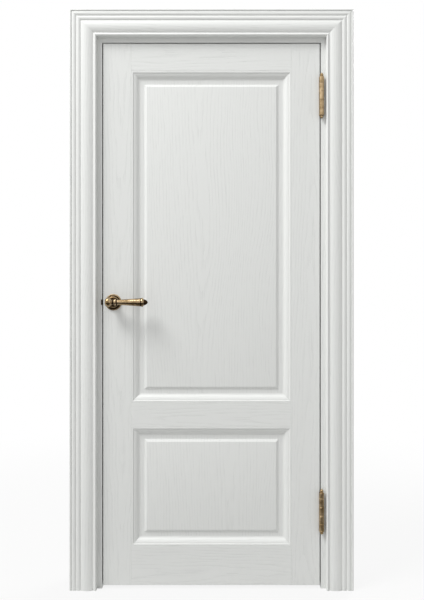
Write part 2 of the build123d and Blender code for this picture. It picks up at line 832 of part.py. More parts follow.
save(back_lever, "back_lever")

with BuildPart() as set_screws:
    with Locations(set_screw_place.offset(-1)):
        Cylinder(set_screw_radius, set_screw_length - 1, align=(Align.CENTER, Align.CENTER, Align.MAX))
    mirror(about=leaf_mid)
save(set_screws, "set_screws")

print("lever travel", lever_travel, "degrees draws the bolt", bolt_travel, "mm:",
      round(bolt_travel / (lever_travel * pi / 180), 3), "mm per radian")
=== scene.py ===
from math import asin, atan, cos, pi, radians

import bmesh
import bpy
from mathutils import Matrix, Vector


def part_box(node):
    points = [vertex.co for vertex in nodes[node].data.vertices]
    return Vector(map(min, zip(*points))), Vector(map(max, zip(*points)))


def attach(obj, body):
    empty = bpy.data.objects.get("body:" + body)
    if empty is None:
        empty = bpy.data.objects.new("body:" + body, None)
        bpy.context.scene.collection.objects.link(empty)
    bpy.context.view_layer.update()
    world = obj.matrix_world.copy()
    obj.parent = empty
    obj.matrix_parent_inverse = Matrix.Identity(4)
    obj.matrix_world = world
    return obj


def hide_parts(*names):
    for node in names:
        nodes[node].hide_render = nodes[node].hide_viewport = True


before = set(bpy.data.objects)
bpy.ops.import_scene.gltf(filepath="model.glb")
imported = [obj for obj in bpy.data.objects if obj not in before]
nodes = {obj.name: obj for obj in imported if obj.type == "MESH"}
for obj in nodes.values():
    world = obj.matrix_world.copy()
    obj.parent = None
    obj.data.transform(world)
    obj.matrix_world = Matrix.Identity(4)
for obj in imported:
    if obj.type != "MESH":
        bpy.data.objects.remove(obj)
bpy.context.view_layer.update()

# The frame is in metres. Sections and turned pieces are drawn here in millimetres, then placed.
right, into, up = Vector((1, 0, 0)), Vector((0, 1, 0)), Vector((0, 0, 1))


def corners(node):                               # lowest and highest corner of a CAD node, in mm
    low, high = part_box(node)
    return low * 1000, high * 1000


stileLow, stileHigh = corners("hinge_stile")
faceY, backY = stileLow.y, stileHigh.y           # front and back face of the leaf
leafMidY = (faceY + backY) / 2
jambLow, jambHigh = corners("hinge_jamb")
wallMidY = (jambLow.y + jambHigh.y) / 2
panelEdge = stileLow.x                           # inner edge of the stiles
spindleLow, spindleHigh = corners("spindle")
spindleX, spindleZ = (spindleLow.x + spindleHigh.x) / 2, (spindleLow.z + spindleHigh.z) / 2
print("frame loaded:", len(nodes), "nodes")


# Finishes
class Signal:                                    # a node's output that can be reckoned with
    def __init__(self, tree, socket):
        self.tree, self.socket = tree, socket

    def reckon(self, operation, first, second):
        return self.tree.node("ShaderNodeMath", {"operation": operation}, {0: first, 1: second})

    def __add__(self, other):
        return self.reckon("ADD", self, other)

    def __radd__(self, other):
        return self.reckon("ADD", other, self)

    def __sub__(self, other):
        return self.reckon("SUBTRACT", self, other)

    def __rsub__(self, other):
        return self.reckon("SUBTRACT", other, self)

    def __mul__(self, other):
        return self.reckon("MULTIPLY", self, other)

    def __rmul__(self, other):
        return self.reckon("MULTIPLY", other, self)

    def __pow__(self, power):
        return self.reckon("POWER", self, power)

    def __rpow__(self, base):
        return self.reckon("POWER", base, self)

    def __mod__(self, step):
        return self.reckon("FLOORED_MODULO", self, step)

    def __rmod__(self, value):
        return self.reckon("FLOORED_MODULO", value, self)

    def __abs__(self):
        return self.reckon("ABSOLUTE", self, 0)


class Tree:                                      # every new node comes from the node method
    def __init__(self, owner):
        owner.use_nodes = True
        self.nodes, self.links = owner.node_tree.nodes, owner.node_tree.links

    def node(self, kind, settings={}, values={}, output=0):
        made = self.nodes.new(kind)
        for name, value in settings.items():
            setattr(made, name, value)
        for socket, value in values.items():
            self.feed(made, socket, value)
        return Signal(self, made.outputs[output])

    def feed(self, made, socket, value):
        if isinstance(value, Signal):
            self.links.new(value.socket, made.inputs[socket])
        else:
            made.inputs[socket].default_value = value

    def clamp(self, value, low, high):           # 0 at low, 1 at high
        return self.node("ShaderNodeMapRange", {"interpolation_type": "SMOOTHSTEP"},
                         {"Value": value, "From Min": low, "From Max": high})

    def seen(self):                              # 1 where the camera or a reflection looks
        looks = 0.0
        for ray in ("Is Camera Ray", "Is Glossy Ray", "Is Transmission Ray"):
            one = self.node("ShaderNodeLightPath", output=ray)
            looks = one.reckon("MAXIMUM", one, looks)
        return looks


class Finish(Tree):                              # a material, with the nodes that feed its shader
    def __init__(self, name, fixed):
        self.material = bpy.data.materials.new(name)
        super().__init__(self.material)
        self.shader = self.nodes["Principled BSDF"]
        for socket, value in fixed.items():
            self.shade(socket, value)
        self.place = self.node("ShaderNodeTexCoord", output="Object")

    def shade(self, socket, value):
        self.feed(self.shader, socket, value)

    def blend(self, factor, first, second):
        return self.node("ShaderNodeMix", {"data_type": "RGBA"}, {0: factor, 6: first, 7: second}, 2)

    def noise(self, vector, scale, detail=2.0):
        return self.node("ShaderNodeTexNoise", {}, {
            "Vector": vector, "Scale": scale, "Detail": detail})

    def bands(self, value, places):              # 1 in each band: its middle and half width
        total = 0.0
        for middle, half in places:
            total = self.clamp(abs(value - middle), half, half * 0.5) + total
        return total

    def axes(self):
        return [self.node("ShaderNodeSeparateXYZ", {}, {0: self.place}, axis) for axis in "XYZ"]

    def vector(self, x, y, z):
        return self.node("ShaderNodeCombineXYZ", {}, {0: x, 1: y, 2: z})

    def bump(self, height, strength, distance):
        self.shade("Normal", self.node("ShaderNodeBump", {}, {
            "Height": height, "Strength": strength, "Distance": distance}))


lacquer = {
    "paint": (0.755, 0.765, 0.748, 1),
    "poreShade": (0.685, 0.695, 0.68, 1),          # painted shade down in the sunk pores
    "ringsPerMetre": 95,
    "slope": 3.4,                                # how fast a growth ring climbs along the board
    "heartAhead": 0.055,                         # how far before y = 0 the heart lies, in metres
    "wander": 0.078,                             # the width over which the heart strays, in metres
    "ringDrift": 3.6, "ringRipple": 1.7,         # how many rings the slow and the quick waves shift
    "drift": (2.2, 0.55, 2.0, 1.0),              # noises: across the board, along it, scale, detail
    "ripple": (12, 3.0, 2.0, 1.0),
    "streak": (150, 6.5, 1.6, 2.0),
    "pore": (900, 38, 1.0, 1.0),
    "porousPart": (0.10, 0.62),                  # the pores thin out over this part of a ring
    "poreDepth": 0.0007,
}


# White lacquer on pressed ash. The growth rings are those of a flat-sawn board: an arch over the
# heart, long lines at the edges, with the pores in the first part of each ring.
def pressedAsh(name, level=False, heart=0.0, lean=1):
    finish = Finish(name, {"Coat Weight": 0.10, "Coat Roughness": 0.32, "IOR": 1.48})
    x, y, z = finish.axes()
    along, across = (x, z) if level else (z, x)

    def grain(wide, long, scale, detail):        # noise drawn out along the board
        return finish.noise(finish.vector(across * wide, y * wide, along * long), scale, detail)

    drift = grain(*lacquer["drift"]) - 0.5
    ripple = grain(*lacquer["ripple"]) - 0.5
    offset = across - heart + drift * lacquer["wander"]
    depth = y + lacquer["heartAhead"]
    reach = (offset * offset + depth * depth) ** 0.5
    rings = reach * lacquer["ringsPerMetre"] + along * (lean * lacquer["slope"])
    phase = (rings + ripple * lacquer["ringRipple"] + drift * lacquer["ringDrift"]) % 1.0
    porous = 1 - finish.clamp(phase, *lacquer["porousPart"])
    pores = finish.clamp(grain(*lacquer["pore"]), 0.50, 0.64)
    marked = finish.clamp(grain(*lacquer["streak"]), 0.36, 0.66) * porous
    sunk = marked * 0.62 + pores * porous * 0.38
    cloud = finish.noise(finish.place, 3.0, 2.0)
    # Where the grain is sunk the paint turns to painted shade, with a random cloudy tone over it
    poreShadeAndTone = finish.clamp(sunk * 0.85 + cloud * 0.22, 0.05, 1.25)
    finish.shade("Base Color", finish.blend(poreShadeAndTone, lacquer["paint"], lacquer["poreShade"]))
    finish.shade("Roughness", 0.36 + sunk * 0.16 + cloud * 0.06)
    finish.bump(1 - sunk, 0.38, lacquer["poreDepth"])
    return finish.material


brass = {
    "rubbed": (0.50, 0.375, 0.23, 1),
    "worn": (0.27, 0.185, 0.090, 1),
    "tarnishAndShade": (0.030, 0.016, 0.006, 1),
    "cloudsPerMetre": 55,
    "specksPerMetre": 620,
    "linesPerMetre": 2600,
}


# Antique brass: dark patina in clouds and specks, rubbed away elsewhere, with turning lines. Dark
# bands along the turning, given in metres, are patina in the grooves deepened to painted shade, and
# painted shade over the lever's tip.
def antiqueBrass(name, turning, darkBands=(), polish=0.20):
    finish = Finish(name, {"Metallic": 1.0})
    x, y, z = finish.axes()
    offX, offZ = x - spindleX / 1000, z - spindleZ / 1000
    along = {"lever": offX, "rose": (offX * offX + offZ * offZ) ** 0.5, "hinge": z}[turning]
    clouds = finish.noise(finish.place, brass["cloudsPerMetre"], 4.0)
    specks = finish.noise(finish.place, brass["specksPerMetre"], 2.0)
    lines = finish.noise(finish.vector(along, 0.0, 0.0), brass["linesPerMetre"], 1.0)
    rubbed = finish.clamp(clouds * 0.8 + lines * 0.2, 0.34, 0.66)
    spotted = finish.clamp(specks, 0.60, 0.72)
    warm = finish.blend(rubbed, brass["worn"], brass["rubbed"])
    clouded = finish.clamp(0.60 - clouds, 0.08, 0.40)
    # The dark bands add painted shade to the random patina clouds and specks
    tarnishAndShade = clouded * 0.55 + spotted * 0.2 + finish.bands(along, darkBands) * 0.9
    finish.shade("Base Color", finish.blend(finish.clamp(tarnishAndShade, 0.0, 1.0), warm, brass["tarnishAndShade"]))
    finish.shade("Roughness", polish + finish.clamp(tarnishAndShade, 0.0, 1.2) * 0.25 + lines * 0.08)
    finish.bump(lines * 0.5 - spotted * 0.5, 0.25, 0.0002)
    return finish.material


def platedSteel(name, dull, bright):
    finish = Finish(name, {"Metallic": 1.0})
    grain = finish.noise(finish.place, 900.0, 2.0)
    clouds = finish.noise(finish.place, 70.0, 2.0)
    finish.shade("Base Color", finish.blend(clouds, dull, bright))
    finish.shade("Roughness", 0.30 + grain * 0.18)
    finish.bump(grain, 0.12, 0.0002)
    return finish.material


def paleRubber(name):
    finish = Finish(name, {"IOR": 1.45})
    speck = finish.noise(finish.place, 1400.0, 2.0)
    finish.shade("Base Color", finish.blend(speck, (0.60, 0.60, 0.58, 1), (0.70, 0.70, 0.68, 1)))
    finish.shade("Roughness", 0.62 + speck * 0.2)
    finish.bump(speck, 0.2, 0.0002)
    return finish.material


def rawBeech(name):
    finish = Finish(name, {"IOR": 1.4})
    x, y, z = finish.axes()
    fleck = finish.noise(finish.vector(x * 12, y * 260, z * 260), 2.0, 3.0)
    finish.shade("Base Color", finish.blend(fleck, (0.46, 0.29, 0.16, 1), (0.66, 0.47, 0.30, 1)))
    finish.shade("Roughness", 0.5 + fleck * 0.2)
    finish.bump(fleck, 0.2, 0.0003)
    return finish.material


# Dark bands over the lever's waist, grooves and tip, and over the rose's collar and dish: patina
# deepened to painted shade
leverDarkBands = [(0.0042, 0.0048), (0.0182, 0.0030), (0.1062, 0.0026), (0.1250, 0.0110)]
roseDarkBands = [(0.0135, 0.0030), (0.0234, 0.0036)]
leverBrass = antiqueBrass("leverBrass", "lever", leverDarkBands)
roseBrass = antiqueBrass("roseBrass", "rose", roseDarkBands)
hingeBrass = antiqueBrass("hingeBrass", "hinge", polish=0.34)
# Near black for the strike lip: painted shade in the gap between leaf and jamb
paintedShadeBrass = platedSteel("paintedShadeBrass", (0.030, 0.020, 0.011, 1), (0.075, 0.050, 0.026, 1))
latchSteel = platedSteel("latchSteel", (0.42, 0.42, 0.43, 1), (0.62, 0.61, 0.59, 1))
# Near black for the latch bolt: painted shade in the gap between leaf and jamb
paintedShadeSteel = platedSteel("paintedShadeSteel", (0.015, 0.012, 0.009, 1), (0.04, 0.032, 0.026, 1))
sealRubber = paleRubber("sealRubber")
dowelBeech = rawBeech("dowelBeech")
print("finishes mixed")


# Drawing, cutting and placing
class Pen:                                       # draws a section as a chain of edges, in mm
    def __init__(self, mesh, x, y):
        self.mesh = mesh
        self.first = self.last = mesh.verts.new((x, y, 0))

    def line(self, *places):
        for x, y in places:
            corner = self.mesh.verts.new((x, y, 0))
            self.mesh.edges.new((self.last, corner))
            self.last = corner
        return self

    def arc(self, x, y, bulge, steps=8):         # a positive bulge bows to the left of the way drawn
        start, end = self.last.co.copy(), Vector((x, y, 0))
        chord = end - start
        side = Vector((-chord.y, chord.x, 0)).normalized() * (1 if bulge > 0 else -1)
        radius = (chord.length_squared / 4 + bulge * bulge) / (2 * abs(bulge))
        centre = (start + end) / 2 - side * (radius - abs(bulge))
        angle = 4 * atan(2 * bulge / chord.length)
        made = bmesh.ops.spin(self.mesh, geom=[self.last], cent=centre, axis=(0, 0, -1),
                              angle=angle, steps=steps)
        self.last = made["geom_last"][0]
        return self

    def close(self):
        self.mesh.edges.new((self.last, self.first))


inMetres = Matrix.Scale(0.001, 4)


def placing(origin, x, y, z):                    # from drawing millimetres to the frame's metres
    turn = Matrix((x, y, z)).transposed().to_4x4()
    return inMetres @ Matrix.Translation(origin) @ turn


def behind(matrix, middle):                      # the same place, mirrored to the back
    flip = Matrix.Translation((0, 2 * middle / 1000, 0)) @ Matrix.Scale(-1, 4, into)
    return flip @ matrix


def outward(mesh):
    bmesh.ops.remove_doubles(mesh, verts=mesh.verts, dist=0.0005)
    bmesh.ops.recalc_face_normals(mesh, faces=mesh.faces)


# Runs a section along the drawing's z. A mitred end is run out by reach, then cut off at 45 degrees.
def stick(section, length, turn=1, mitred=(True, True), reach=130):
    mesh = bmesh.new()
    section(mesh)
    face = bmesh.ops.contextual_create(mesh, geom=mesh.edges[:])["faces"]
    low = reach if mitred[0] else 0
    high = reach if mitred[1] else 0
    bmesh.ops.translate(mesh, verts=mesh.verts, vec=(0, 0, -low))
    grown = bmesh.ops.extrude_face_region(mesh, geom=face, use_keep_orig=True)["geom"]
    tips = [part for part in grown if isinstance(part, bmesh.types.BMVert)]
    bmesh.ops.translate(mesh, verts=tips, vec=(0, 0, low + length + high))
    for cut, at, away in ((mitred[0], 0, (-turn, 0, -1)), (mitred[1], length, (-turn, 0, 1))):
        if cut:
            whole = mesh.verts[:] + mesh.edges[:] + mesh.faces[:]
            bmesh.ops.bisect_plane(mesh, geom=whole, plane_co=(0, 0, at), plane_no=away,
                                   clear_outer=True)
            rim = [edge for edge in mesh.edges if edge.is_boundary]
            bmesh.ops.contextual_create(mesh, geom=rim)
    outward(mesh)
    return mesh


def turned(outline, steps=48):                   # spun about the drawing's y axis
    mesh = bmesh.new()
    outline(mesh)
    bmesh.ops.spin(mesh, geom=mesh.verts[:] + mesh.edges[:], cent=(0, 0, 0), axis=(0, 1, 0),
                   angle=2 * pi, steps=steps, use_merge=True)
    outward(mesh)
    return mesh


def block(low, high):
    mesh = bmesh.new()
    bmesh.ops.create_cube(mesh, size=1)
    size = [b - a for a, b in zip(low, high)]
    bmesh.ops.scale(mesh, verts=mesh.verts, vec=size)
    bmesh.ops.translate(mesh, verts=mesh.verts, vec=[(a + b) / 2 for a, b in zip(low, high)])
    return mesh


def softened(mesh, edges, width, segments=3):
    bmesh.ops.bevel(mesh, geom=edges, offset=width, offset_type="OFFSET", segments=segments,
                    profile=0.5, affect="EDGES", clamp_overlap=True, material=-1)
    return mesh


def finished(name, parts, finish, body, node=None, sharp=32):
    whole = bmesh.new()
    for part, matrix in parts:
        part.transform(matrix)
        if matrix.determinant() < 0:
            bmesh.ops.reverse_faces(part, faces=part.faces)
        scratch = bpy.data.meshes.new("scratch")
        part.to_mesh(scratch)
        part.free()
        whole.from_mesh(scratch)
        bpy.data.meshes.remove(scratch)
    for face in whole.faces:
        face.smooth = True
    data = bpy.data.meshes.new(name)
    whole.to_mesh(data)
    whole.free()
    data.set_sharp_from_angle(angle=radians(sharp))
    piece = bpy.data.objects.new(name, data)
    bpy.context.scene.collection.objects.link(piece)
    data.materials.append(finish)
    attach(piece, body)
    if node:
        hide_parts(node)


# Casings
casing = {"bead": 12.5, "beadHeight": 22.5, "valleySink": 0.8, "torus": 45, "torusRise": 6,
          "reed": 17, "reedRise": 3, "groove": 18, "edgeHeight": 21.5, "edgeSwell": 0.6,
          "round": 5, "wide": 99.5, "tongue": (2, 7, 12)}
quarter = 1 - cos(pi / 4)                        # how far a quarter round bulges, over its radius


def casingSection(mesh):                         # from the inner edge outward, -y to the viewer
    torusEnd = casing["bead"] + casing["torus"]
    soft = casing["round"]
    pen = Pen(mesh, 0, 0).line((0, soft - casing["beadHeight"]))
    pen.arc(soft, -casing["beadHeight"], -soft * quarter)
    pen.arc(casing["bead"], -casing["groove"], casing["valleySink"], 6)
    pen.arc(torusEnd, -casing["groove"], -casing["torusRise"], 14)
    for reed in (1, 2):
        pen.arc(torusEnd + reed * casing["reed"], -casing["groove"], -casing["reedRise"], 10)
    pen.arc(casing["wide"] - soft, -casing["edgeHeight"], -casing["edgeSwell"], 5)
    pen.arc(casing["wide"], soft - casing["edgeHeight"], -soft * quarter)
    near, far, deep = casing["tongue"]
    pen.line((casing["wide"], 0), (far, 0), (far, deep), (near, deep), (near, 0)).close()


headLow = corners("front_casing_head")[0].z      # inner edges of the casing
sideLow = corners("front_casing_hinge")[0].x
casingRuns = {
    "hinge": (Vector((sideLow, faceY, 0)), right, up, headLow, (False, True), 0.452),
    "head": (Vector((sideLow, faceY, headLow)), up, -right, 2 * sideLow, (True, True), 2.07),
    "lock": (Vector((-sideLow, faceY, headLow)), -right, -up, headLow, (True, False), -0.492),
}
for side, (start, across, along, length, mitred, heart) in casingRuns.items():
    for where in ("front", "back"):
        place = placing(start, across, into, along)
        if where == "back":
            place = behind(place, wallMidY)
        name = f"{where}_casing_{side}"
        finish = pressedAsh(f"{name}_ash", side == "head", heart, 1 if side == "hinge" else -1)
        finished(name + "_dressed", [(stick(casingSection, length, 1, mitred), place)],
                 finish, "frame", name)
print("casings run")

# Mouldings round the panels
moulding = {"flat": 6, "quirk": (2, 2.5), "ovolo": (16, 7.1), "ovoloSwell": 1.4,
            "wide": 33, "deep": 13, "coveSink": 0.8, "vee": 0.8, "heart": 0.31}


def mouldingSection(mesh):
    quirkEnd = (moulding["flat"] + moulding["quirk"][0], moulding["quirk"][1])
    ovoloEnd = (quirkEnd[0] + moulding["ovolo"][0], quirkEnd[1] + moulding["ovolo"][1])
    pen = Pen(mesh, 0, moulding["deep"]).line((0, moulding["vee"]), (moulding["vee"], 0))
    pen.line((moulding["flat"], 0), quirkEnd)
    pen.arc(*ovoloEnd, -moulding["ovoloSwell"], 10)
    pen.arc(moulding["wide"], moulding["deep"], moulding["coveSink"], 8)
    pen.close()


for where in ("upper", "lower"):
    low, high = (corner.z for corner in corners(f"{where}_front_moulding_crossbars"))
    sticks = {
        "uprights": [(Vector((-panelEdge, faceY, low)), right, up, high - low),
                     (Vector((panelEdge, faceY, high)), -right, -up, high - low)],
        "crossbars": [(Vector((-panelEdge, faceY, high)), -up, right, 2 * panelEdge),
                      (Vector((panelEdge, faceY, low)), up, -right, 2 * panelEdge)],
    }
    for kind, runs in sticks.items():
        for face in ("front", "back"):
            parts = []
            for start, across, along, length in runs:
                place = placing(start, across, into, along)
                if face == "back":
                    place = behind(place, leafMidY)
                parts.append((stick(mouldingSection, length, -1, reach=0), place))
            name = f"{where}_{face}_moulding_{kind}"
            heart = moulding["heart"] if kind == "uprights" else high / 1000
            finish = pressedAsh(f"{name}_ash", kind == "crossbars", heart)
            finished(name + "_dressed", parts, finish, "leaf", name, sharp=24)
print("mouldings mitred")

# Raised panels
panel = {"margin": 47, "bevel": 10, "rise": 6, "arris": 1.2,
         "hearts": {"upper": -0.04, "lower": 0.07}}
for where, heart in panel["hearts"].items():
    low, high = corners(f"{where}_panel")
    openingLow, openingHigh = (corner.z for corner in corners(f"{where}_front_moulding_crossbars"))
    slab = block((low.x, low.y + panel["rise"], low.z), (high.x, high.y - panel["rise"], high.z))
    for face in [face for face in slab.faces if abs(face.normal.y) > 0.9]:
        margin = panel["margin"] - (openingHigh - openingLow - (high.z - low.z)) / 2
        for wide in (margin, panel["bevel"]):
            bmesh.ops.inset_region(slab, faces=[face], thickness=wide, use_even_offset=True)
        bmesh.ops.translate(slab, verts=face.verts, vec=face.normal * panel["rise"])
    field = [edge for edge in slab.edges if len({round(v.co.y, 3) for v in edge.verts}) == 1
             and min(abs(edge.verts[0].co.y - low.y), abs(edge.verts[0].co.y - high.y)) < 0.01]
    softened(slab, field, panel["arris"])
    outward(slab)
    finish = pressedAsh(f"{where}_panel_ash", False, heart, -1)
    finished(f"{where}_panel_dressed", [(slab, inMetres)], finish,
             "leaf", f"{where}_panel", sharp=20)
print("panels raised")

# Rose and lever, front and back
rose = {"radius": 30, "rim": 3, "rimRound": 1, "shoulder": 28, "dish": 0.7, "crown": (22, 16),
        "crownRise": 3.4, "floor": 6, "collar": (15.2, 11.4), "collarSink": 0.8, "mouth": 10,
        "bore": 9.3, "plate": (24, 4)}
lever = {"standOff": 45, "knobReach": 24.5, "knobRadius": 17, "knobRoot": 9.5, "waist": (4.5, 7.5),
         "ring": (9.25, 15.75, 12), "ringEase": 0.8, "ringRound": 1.0, "gripStart": (20, 9),
         "gripEnd": (108, 15), "collar": (114.5, 16.2), "collarRound": 0.6, "tipShoulder": 12.5,
         "tipWaist": (123.5, 9), "tip": 131.5, "tipRound": 1.2, "neck": (9, 12, 7.8)}


def roseOutline(mesh):                           # x from the spindle outward, y off the leaf
    plateRadius, plateTop = rose["plate"]
    outer, inner = rose["crown"]
    collarFoot, collarTop = rose["collar"]
    soft, bore = rose["rimRound"], rose["bore"]
    pen = Pen(mesh, plateRadius, 0).line((rose["radius"], 0), (rose["radius"], rose["rim"] - soft))
    pen.arc(rose["radius"] - soft, rose["rim"], -soft * quarter, 4)
    pen.line((rose["shoulder"], rose["rim"]))
    pen.arc(outer, rose["floor"], rose["dish"], 6)
    pen.arc(inner, rose["floor"], -rose["crownRise"], 12)
    pen.line((collarFoot, rose["floor"]))
    pen.arc(collarTop, rose["mouth"], rose["collarSink"], 6)
    pen.line((bore, rose["mouth"]), (bore, plateTop), (plateRadius, plateTop)).close()


def barOutline(mesh):                            # x from the bar's axis, y along it from the spindle
    waistAt, waistRadius = lever["waist"]
    ringLow, ringHigh, ringRadius = lever["ring"]
    gripAt, gripRadius = lever["gripStart"]
    endAt, endRadius = lever["gripEnd"]
    collarEnd, collarRadius = lever["collar"]
    tipAt, tipRadius = lever["tipWaist"]
    turn = lever["knobReach"] / 2                # the knob is a round of this radius, off the axis
    flat = lever["knobRadius"] - turn
    sweep = pi - asin((lever["knobRoot"] - flat) / turn)
    pen = Pen(mesh, 0, -lever["knobReach"]).line((flat, -lever["knobReach"]))
    pen.arc(lever["knobRoot"], -turn - turn * cos(sweep), -turn * (1 - cos(sweep / 2)), 20)
    ringEdge, ease = ringRadius - lever["ringRound"], lever["ringEase"]
    pen.line((waistRadius, waistAt), (waistRadius, ringLow), (ringEdge, ringLow + ease))
    pen.arc(ringEdge, ringHigh - ease, -lever["ringRound"], 6)
    collarEdge = collarRadius - lever["collarRound"]
    pen.line((gripRadius, ringHigh), (gripRadius, gripAt), (endRadius, endAt), (collarEdge, endAt))
    pen.arc(collarEdge, collarEnd, -lever["collarRound"], 6)
    pen.line((lever["tipShoulder"], collarEnd), (tipRadius, tipAt))
    pen.arc(0, lever["tip"], -lever["tipRound"], 8)


def neckOutline(mesh):
    wide, straight, narrow = lever["neck"]
    tall = lever["standOff"]
    Pen(mesh, 0, 0).line((wide, 0), (wide, straight), (narrow, tall), (0, tall))


for where in ("front", "back"):
    out = placing(Vector((spindleX, faceY, spindleZ)), right, -into, -up)
    bar = placing(Vector((spindleX, faceY - lever["standOff"], spindleZ)), up, right, into)
    if where == "back":
        out, bar = behind(out, leafMidY), behind(bar, leafMidY)
    finished(f"{where}_rose_turned", [(turned(roseOutline, 64), out)], roseBrass,
             "leaf", f"{where}_rose")
    parts = [(turned(barOutline, 56), bar), (turned(neckOutline, 40), out)]
    finished(f"{where}_lever_turned", parts, leverBrass,
             "lever", f"{where}_lever")
print("levers and roses turned")

# Hinges
hinge = {"radius": 8.75, "ease": 0.3, "bead": 0.7, "band": 2.6, "beadLift": 1.2, "end": 24,
         "middle": 31.5, "gap": 0.3, "pin": 4, "bore": {"jamb": 4.0, "leaf": 4.05},
         "plate": (2.5, 30, 4), "webStart": 0.7, "webOverlap": 0.1, "topFinial": 15,
         "bottomFinial": 12}
bud = {"flange": 6.6, "flangeRound": 0.4, "flangeTop": 1.5, "neck": (4.6, 2), "neckSink": 0.1,
       "tip": (1.7, 3), "swell": 3.1, "tipRound": 0.5}
hingeLength = 2 * hinge["end"] + 3 * hinge["middle"]
platesLow, platesHigh = corners("hinge_jamb_plates")
hingeMiddles = (platesHigh.z - hingeLength / 2, platesLow.z + hingeLength / 2)
pinLow, pinHigh = corners("hinge_pins")
barrelX, barrelY = (pinLow.x + pinHigh.x) / 2, (pinLow.y + pinHigh.y) / 2
jambX = corners("hinge_jamb")[0].x
leafX = stileHigh.x


def knuckle(height, bore):
    def outline(mesh):
        radius, ease, lift = hinge["radius"], hinge["ease"], hinge["beadLift"]
        pen = Pen(mesh, bore, 0).line((radius - ease, 0), (radius, ease), (radius, lift))
        pen.arc(radius, lift + hinge["band"], -hinge["bead"], 6)
        pen.line((radius, height - ease), (radius - ease, height), (bore, height)).close()
    return turned(outline, 40)


def finial(height):                              # a flange, then a bud that narrows to a round tip
    def outline(mesh):
        flange = bud["flange"] - bud["flangeRound"]
        tipRadius, tipDeep = bud["tip"]
        pen = Pen(mesh, 0, 0).line((flange, 0))
        pen.arc(flange, bud["flangeTop"], -bud["flangeRound"], 4)
        pen.arc(*bud["neck"], bud["neckSink"], 3)
        pen.arc(tipRadius, height - tipDeep, -bud["swell"], 14)
        pen.arc(0, height, -bud["tipRound"], 5)
    return turned(outline, 40)


def rod(radius, length):
    return turned(lambda mesh: Pen(mesh, 0, 0).line((radius, 0), (radius, length), (0, length)), 32)


def upright(x, y, z, flip=1):                    # stands a turned piece upright, or hangs it
    return placing(Vector((x, y, z)), right, up * flip, -into * flip)


plateParts = {"jamb": [], "leaf": []}
pinParts, finialParts = [], []
for middle in hingeMiddles:
    base = middle - hingeLength / 2
    bottom = base
    for index in range(5):
        height = hinge["end"] if index in (0, 4) else hinge["middle"]
        start = bottom + (hinge["gap"] if index else 0)
        side, x, toward = ("leaf", leafX, -1) if index % 2 else ("jamb", jambX, 1)
        plateParts[side].append((knuckle(bottom + height - start, hinge["bore"][side]),
                                 upright(barrelX, barrelY, start)))
        sides = sorted((x, x + toward * hinge["plate"][0]))
        webFront = barrelY + hinge["radius"] * hinge["webStart"]
        webBack = faceY + hinge["webOverlap"]
        web = block((sides[0], webFront, start), (sides[1], webBack, bottom + height))
        plateParts[side].append((web, inMetres))
        bottom += height
    for side, x, toward in (("jamb", jambX, 1), ("leaf", leafX, -1)):
        sides = sorted((x, x + toward * hinge["plate"][0]))
        plateBack = faceY + hinge["plate"][1]
        plate = block((sides[0], faceY, base), (sides[1], plateBack, base + hingeLength))
        heel = [edge for edge in plate.edges if abs(edge.verts[0].co.x - edge.verts[1].co.x) > 1
                and edge.verts[0].co.y > faceY + 1]
        plateParts[side].append((softened(plate, heel, hinge["plate"][2], 6), inMetres))
    half = hinge["end"] / 2                      # the bottom finial's stub reaches up to the pin
    pinParts += [(rod(hinge["pin"], hingeLength - half), upright(barrelX, barrelY, base + half)),
                 (finial(hinge["topFinial"]), upright(barrelX, barrelY, base + hingeLength))]
    finialParts += [(rod(hinge["pin"], half), upright(barrelX, barrelY, base)),
                    (finial(hinge["bottomFinial"]), upright(barrelX, barrelY, base, -1))]
hingePieces = {                                  # by the node that each replaces
    "hinge_jamb_plates": ("jamb_plates_turned", plateParts["jamb"], "frame"),
    "hinge_leaf_plates": ("leaf_plates_turned", plateParts["leaf"], "leaf"),
    "hinge_pins": ("hinge_pins_turned", pinParts, "frame"),
    "hinge_finials": ("hinge_finials_turned", finialParts, "frame"),
}
for node, (name, parts, body) in hingePieces.items():
    finished(name, parts, hingeBrass, body, node)
print("hinges turned")

# Countersunk screws with a straight slot. The head's rim stands a little proud of its plate.
screw = {"slot": 1.2, "deep": 0.75, "hinge": (2.1, 4.3, 0.8), "latch": (1.75, 3.5, 0.1),
         "length": 22, "twist": 1.1, "hingeRise": (24, 55), "hingeInset": (17, 24),
         "latchPitch": 44, "strikePitch": 56}


def slottedScrew(radius, head):
    deep, half = screw["deep"], screw["slot"] / 2
    bottom, taper = -screw["length"], radius - head
    yield turned(lambda mesh: Pen(mesh, 0, bottom).line(
        (radius, bottom), (radius, taper), (head - deep, -deep), (0, -deep)), 20)
    for side in (-1, 1):                         # the two half moons beside the slot
        moon = turned(lambda mesh: Pen(mesh, 0, -deep).line(
            (head - deep, -deep), (head, 0), (0, 0)), 20)
        whole = moon.verts[:] + moon.edges[:] + moon.faces[:]
        bmesh.ops.bisect_plane(moon, geom=whole, plane_co=(side * half, 0, 0), plane_no=(side, 0, 0),
                               clear_inner=True)
        bmesh.ops.contextual_create(moon, geom=[edge for edge in moon.edges if edge.is_boundary])
        outward(moon)
        yield moon


def pair(pitch):                                 # one screw below the spindle, one above
    return [(leafMidY, spindleZ + turn * pitch / 2) for turn in (-1, 1)]


